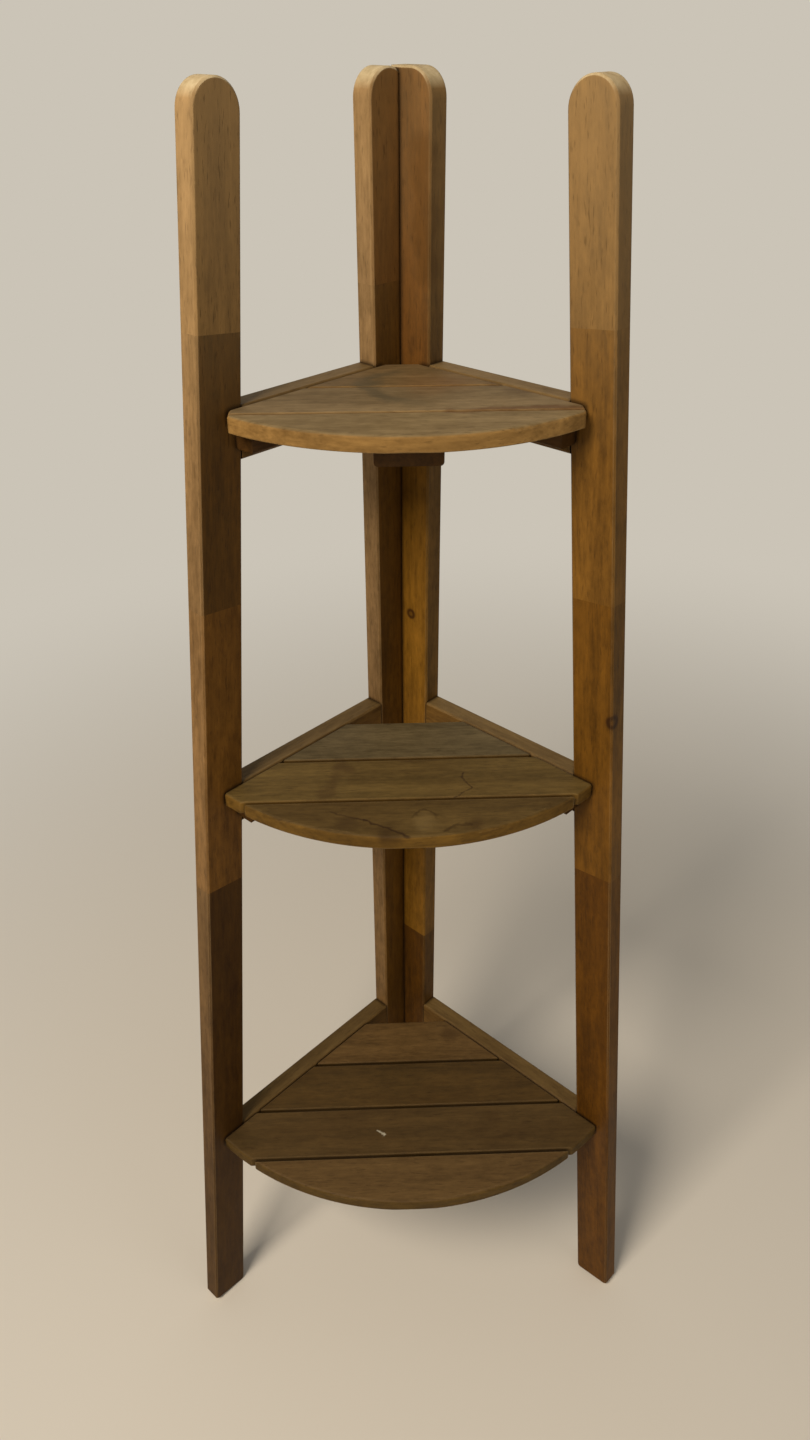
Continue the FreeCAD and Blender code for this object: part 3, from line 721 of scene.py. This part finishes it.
# %% [markdown]
# Each slat has its own washed tones, read slat by slat. The ones in front are lighter
# and the shelves lower down darker, partly their own tone and partly painted light
# and shade, and the sawn edges darken shelf by shelf in the same way. The front
# slats' round edges are painted palest, partly rubbed where a hand slides a pot on
# and partly a painted highlight.

# %% The slats
# Lower shelves are darker, partly as painted shade.
SAWN_AND_SHADED = {"top": ("#6c4f26", "#a37e47"), "middle": ("#4c3611", "#765721"),
        "bottom": ("#3d2c10", "#5f481e")}
WASHED_LIT_AND_SHADED = {
    "top": {"back": ("#574529", "#7e6644"), "middle": ("#605036", "#8a7656"),
            "front": ("#685739", "#927e5b")},
    "middle": {"back": ("#463b25", "#6a5c40"), "centre": ("#4b3b1c", "#6e5930"),
               "front": ("#443418", "#66512b")},
    "bottom": {"back": ("#4a361a", "#6c522e"), "second": ("#3a2b13", "#584220"),
               "third": ("#3d2e17", "#5b4626"), "front": ("#4a371e", "#6a5230")},
}
for tier, slats in WASHED_LIT_AND_SHADED.items():
    for number, (name, tones) in enumerate(slats.items()):
        node = f"{tier}_{name}_slat"
        in_front = name == "front"
        dress(node, oiled_hardwood(
            f"washed_hardwood_{node}", (0, 0, 0), lying(0.0), 1.0,
            [(0.0, *SAWN_AND_SHADED[tier])], worn_and_lit_tone="#a88b5f" if in_front else "#8d7450",
            end_grain=SAWN_AND_SHADED[tier], weathered=tones, weather_axis=UP,
            seed=17.0 + 3.7 * number + len(tier), wear_and_highlight=0.75 if in_front else 0.4,
            roughness=(0.58, 0.76), marks=SHELF_MARKS[tier]))
print("slats dressed")

# %% [markdown]
# The screws are zinc-plated pan heads with a cross recess. A head starts as a small
# grid whose rim is pushed out to a circle. Its middle row and column are the cross,
# and are sunk, narrower at their floor as a real recess is. A cross cut by a boolean
# would leave worse faces.

# %% The head of a screw and its cross
HEAD_RADIUS = 0.0035
HEAD_RISE = 0.0002
GRID = 7
CROSS_DEPTH, CROSS_TAPER, CROSS_CELLS = 0.0015, 0.75, 5.2


def domed_head(bm):
    """A round, slightly domed disc made from a square grid."""
    bmesh.ops.create_grid(bm, x_segments=GRID, y_segments=GRID, size=HEAD_RADIUS)
    for vert in bm.verts:
        reach = max(abs(vert.co.x), abs(vert.co.y))
        if reach > HEAD_RADIUS * 0.5:
            vert.co = vert.co.normalized() * reach
        vert.co.z = HEAD_RISE * (1 - (vert.co.length / HEAD_RADIUS) ** 2)


def sink_cross(bm):
    """The recess: the faces of the middle row and column, sunk and tapered."""
    cell = HEAD_RADIUS / GRID
    middles = {face: face.calc_center_median() for face in bm.faces}
    cross = [face for face, mid in middles.items()
             if min(abs(mid.x), abs(mid.y)) < cell and mid.length < CROSS_CELLS * cell]
    raised = bmesh.ops.extrude_face_region(bm, geom=cross)["geom"]
    floor = [part for part in raised if isinstance(part, bmesh.types.BMVert)]
    bmesh.ops.delete(bm, geom=cross, context="FACES")
    bmesh.ops.translate(bm, verts=floor, vec=(0, 0, -CROSS_DEPTH))
    bmesh.ops.scale(bm, verts=floor, vec=(CROSS_TAPER, CROSS_TAPER, 1))


print("head", HEAD_RADIUS * 2000, "mm wide, recess", CROSS_DEPTH * 1000, "mm deep")

# %% [markdown]
# The rim of the head is then drawn down in steps, as a blank is rolled: the head's
# side, in to the shank, down it, and to a point. The thread is inside the wood on
# every screw, so it is left off. One mesh is made for each length.

# %% The shape of one screw
SHANK_RADIUS = 0.0017
POINT_RADIUS, POINT_LENGTH = 0.0004, 0.003
HEAD_SIDE, NECK = -0.0019, -0.0021


def drawn_rim(bm, radius, height):
    """The open rim extruded to a circle of a radius at a height."""
    rim = [edge for edge in bm.edges if edge.is_boundary]
    drawn = bmesh.ops.extrude_edge_only(bm, edges=rim)["geom"]
    for vert in (part for part in drawn if isinstance(part, bmesh.types.BMVert)):
        flat = Vector((vert.co.x, vert.co.y, 0)).normalized() * radius
        vert.co = (flat.x, flat.y, height)


def screw_mesh(length):
    """A pan-head screw, the rim of its head at the origin's height, its point down."""
    bm = bmesh.new()
    domed_head(bm)
    sink_cross(bm)
    for radius, height in ((HEAD_RADIUS, HEAD_SIDE), (SHANK_RADIUS, NECK),
                           (SHANK_RADIUS, POINT_LENGTH - length),
                           (POINT_RADIUS, -length)):
        drawn_rim(bm, radius, height)
    rim = [edge for edge in bm.edges if edge.is_boundary]
    bmesh.ops.contextual_create(bm, geom=rim)
    bmesh.ops.recalc_face_normals(bm, faces=bm.faces)
    mesh = bpy.data.meshes.new("pan_head_screw")
    bm.to_mesh(mesh)
    bm.free()
    return mesh


sample = screw_mesh(0.026)
print("one screw has", len(sample.polygons), "faces")
bpy.data.meshes.remove(sample)

# %% [markdown]
# Where the screws sit is read from the CAD solids, so that they stay in their holes
# if the holes move. Each is a thin rod with a wide head, so its vertices spread most
# along its axis, and the end with the wider spread is the head.

# %% Find each screw's head, direction and length
MERGE, END_SLICE = 1e-6, 1e-5


def islands(mesh):
    """The separate solids of a mesh, each as an array of its vertices."""
    bm = bmesh.new()
    bm.from_mesh(mesh)
    bmesh.ops.remove_doubles(bm, verts=bm.verts, dist=MERGE)
    bm.verts.index_update()
    waiting = dict.fromkeys(bm.verts)
    while waiting:
        found, front = {}, [next(iter(waiting))]
        while front:
            vert = front.pop()
            if vert not in found:
                found[vert] = None
                waiting.pop(vert)
                front.extend(edge.other_vert(vert) for edge in vert.link_edges)
        yield numpy.array([tuple(vert.co) for vert in found])
    bm.free()


def screw_axis(points):
    """The middle of a screw's head, the way its head looks, and its length."""
    axis = numpy.linalg.svd(points - points.mean(axis=0))[2][0]
    heights = points @ axis
    ends = [points[abs(heights - end) < END_SLICE]
            for end in (heights.max(), heights.min())]
    widths = [numpy.ptp(end, axis=0).max() for end in ends]
    if widths[0] < widths[1]:
        ends.reverse()
        axis = -axis
    head, point = (end.mean(axis=0) for end in ends)
    return Vector(head), Vector(axis), float((head - point) @ axis)


corner_screws = list(islands(frame["nodes"]["corner_screws"].data))
print("corner screws:", len(corner_screws), "of length",
      round(screw_axis(corner_screws[0])[2], 4))

# %% [markdown]
# Zinc plating is a thin grey coat over steel wire, slightly cloudy and dull after
# years in damp wood. It is a metal of medium roughness, with a mottling of about
# half a millimetre.

# %% Zinc-plated steel
MOTTLE_SCALE = 900


def zinc_plated_steel():
    material, tree, shader = blank_material("zinc_plated_steel")
    shader.inputs["Metallic"].default_value = 1.0
    where = add(tree, "ShaderNodeTexCoord").outputs["Object"]
    mottle = add(tree, "ShaderNodeTexNoise", {"Vector": where, "Scale": MOTTLE_SCALE,
                 "Detail": 3}).outputs[0]
    colour = coated(tree, linear("#8f8a7c"), (mottle, linear("#c3c0b4")))
    tree.links.new(colour, shader.inputs["Base Color"])
    dull = add(tree, "ShaderNodeMapRange", {0: mottle, 3: 0.32, 4: 0.55}).outputs[0]
    tree.links.new(dull, shader.inputs["Roughness"])
    return material


zinc = zinc_plated_steel()
print("made", zinc.name)

# %% [markdown]
# A shelf's screws could be instances of one mesh, but a finished piece is one mesh
# at the origin. So every screw is turned and moved into place in its mesh, and all
# the screws of a node become one piece.

# %% Put a detailed screw on every CAD screw
def detailed_screws(node):
    """One mesh with a detailed screw in the place of each of a node's solids."""
    bm = bmesh.new()
    for points in islands(frame["nodes"][node].data):
        head, axis, length = screw_axis(points)
        one = screw_mesh(length)
        turn = axis.to_track_quat("Z", "Y").to_matrix().to_4x4()
        one.transform(Matrix.Translation(head) @ turn)
        bm.from_mesh(one)
        bpy.data.meshes.remove(one)
    mesh = bpy.data.meshes.new(f"{node}_detailed")
    bm.to_mesh(mesh)
    bm.free()
    mesh.materials.append(zinc)
    return mesh


for node in [name for name in slot_of if name.endswith("_screws")]:
    mesh = detailed_screws(node)
    piece = bpy.data.objects.new(f"{node}_detailed", mesh)
    bpy.context.collection.objects.link(piece)
    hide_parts(node)
    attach(piece, "root")
    print(node, "faces", len(mesh.polygons))

# %% [markdown]
# The studio is a pale floor under a pale background. Far from the stand the floor
# would be dim, with a hard horizon, so there it turns into the background's own
# colour. It does so only for what the camera and reflections see, and adds no light
# to the stand.

# %% Floor
BACKGROUND = linear("#cbc4b7")
FLOOR_HALF = 8
LIT_PLACE, LIT_REACH, FADED_OUT = (0.2, 0.1, 0), 0.35, 1.9


def seen_directly(tree):
    """1 for rays that show the background, 0 for rays that light the stand."""
    path = add(tree, "ShaderNodeLightPath")
    seen = add(tree, "ShaderNodeMath", {0: path.outputs["Is Camera Ray"],
               1: path.outputs["Is Glossy Ray"]}, operation="MAXIMUM").outputs[0]
    return add(tree, "ShaderNodeMath", {0: seen,
               1: path.outputs["Is Transmission Ray"]}, operation="MAXIMUM").outputs[0]


def floor_material():
    material, tree, shader = blank_material("pale_studio_floor")
    shader.inputs["Base Color"].default_value = linear("#e4ded4")
    shader.inputs["Roughness"].default_value = 0.9
    where = add(tree, "ShaderNodeTexCoord").outputs["Object"]
    distance = add(tree, "ShaderNodeVectorMath", {0: where, 1: LIT_PLACE},
                   operation="DISTANCE").outputs["Value"]
    far = add(tree, "ShaderNodeMapRange", {0: distance, 1: LIT_REACH, 2: FADED_OUT},
              interpolation_type="SMOOTHSTEP").outputs[0]
    far = add(tree, "ShaderNodeMath", {0: far, 1: seen_directly(tree)},
              operation="MULTIPLY").outputs[0]
    glow = add(tree, "ShaderNodeEmission", {"Color": BACKGROUND})
    mixed = add(tree, "ShaderNodeMixShader", {0: far, 1: shader.outputs[0],
                2: glow.outputs[0]})
    output = next(node for node in tree.nodes if node.type == "OUTPUT_MATERIAL")
    tree.links.new(mixed.outputs[0], output.inputs[0])
    return material


bm = bmesh.new()
bmesh.ops.create_grid(bm, x_segments=1, y_segments=1, size=FLOOR_HALF)
mesh = bpy.data.meshes.new("pale_floor")
bm.to_mesh(mesh)
bm.free()
mesh.materials.append(floor_material())
floor = bpy.data.objects.new("pale_floor", mesh)
bpy.context.collection.objects.link(floor)
print("floor", 2 * FLOOR_HALF, "m wide")

# %% [markdown]
# The world does two jobs. To the camera and to reflections it is the background. To
# the stand it is a weak light from all around, which keeps the shadows open.

# %% Background
AMBIENT_STRENGTH = 0.24
world = bpy.data.worlds.new("pale_studio")
bpy.context.scene.world = world
world.use_nodes = True
tree = world.node_tree
tree.nodes.clear()
ambient = add(tree, "ShaderNodeBackground",
              {"Color": linear("#f2ede4"), "Strength": AMBIENT_STRENGTH})
backdrop = add(tree, "ShaderNodeBackground", {"Color": BACKGROUND, "Strength": 1.0})
mixed = add(tree, "ShaderNodeMixShader", {0: seen_directly(tree),
            1: ambient.outputs[0], 2: backdrop.outputs[0]})
add(tree, "ShaderNodeOutputWorld", {0: mixed.outputs[0]})
print("ambient light at", AMBIENT_STRENGTH)

# %% [markdown]
# One large soft lamp hangs above and to the left, as the stand's own light came, so
# the faces that look forwards and left are the bright ones. It is a little over two
# metres away, so it loses strength towards the floor. A weak one on the right keeps
# the other faces readable.

# %% Lamps
def softbox(name, place, aim, size, power, colour):
    """A square soft lamp, its place and aim in metres, its power in watts."""
    lamp = bpy.data.lights.new(name, "AREA")
    lamp.shape = "SQUARE"
    lamp.size = size
    lamp.energy = power
    lamp.color = linear(colour)[:3]
    stand = bpy.data.objects.new(name, lamp)
    bpy.context.collection.objects.link(stand)
    stand.location = place
    aimed = (Vector(aim) - Vector(place)).to_track_quat("-Z", "Y")
    stand.rotation_euler = aimed.to_euler()


softbox("key_lamp", (-1.05, -1.35, 2.35), (0, 0, 0.75), 0.9, 54, "#fff1dc")
softbox("fill_lamp", (1.9, -1.6, 1.5), (0, 0, 0.6), 1.6, 4.5, "#f6f2ea")
print("lamps made")

# %% [markdown]
# The camera stands at eye level for a person leaning over the stand: a little left
# of the middle, 0.9 m in front of the corner and 1.2 m up, tipped 33 degrees down. A
# 27 mm lens on a 36 mm frame gives the strong convergence of the uprights.

# %% Camera
EYE = CORNER + Vector((-0.0285, -0.8931, 1.2097))
PITCH, ROLL, YAW = 0.5779, -0.0045, 0.0341
FRAME_HEIGHT, FOCAL_PIXELS = 1440, 1095.1
camera_data = bpy.data.cameras.new("camera")
camera_data.sensor_width = 36.0
camera_data.lens = FOCAL_PIXELS / FRAME_HEIGHT * camera_data.sensor_width
camera = bpy.data.objects.new("camera", camera_data)
bpy.context.collection.objects.link(camera)
turn = (Matrix.Rotation(-YAW, 3, "Z") @ Matrix.Rotation(math.pi / 2 - PITCH, 3, "X")
        @ Matrix.Rotation(ROLL, 3, "Z"))
camera.matrix_world = Matrix.Translation(EYE) @ turn.to_4x4()
bpy.context.scene.camera = camera
bpy.context.scene.view_settings.view_transform = "Standard"
print("camera at", [round(v, 3) for v in EYE], "lens", round(camera_data.lens, 2), "mm")
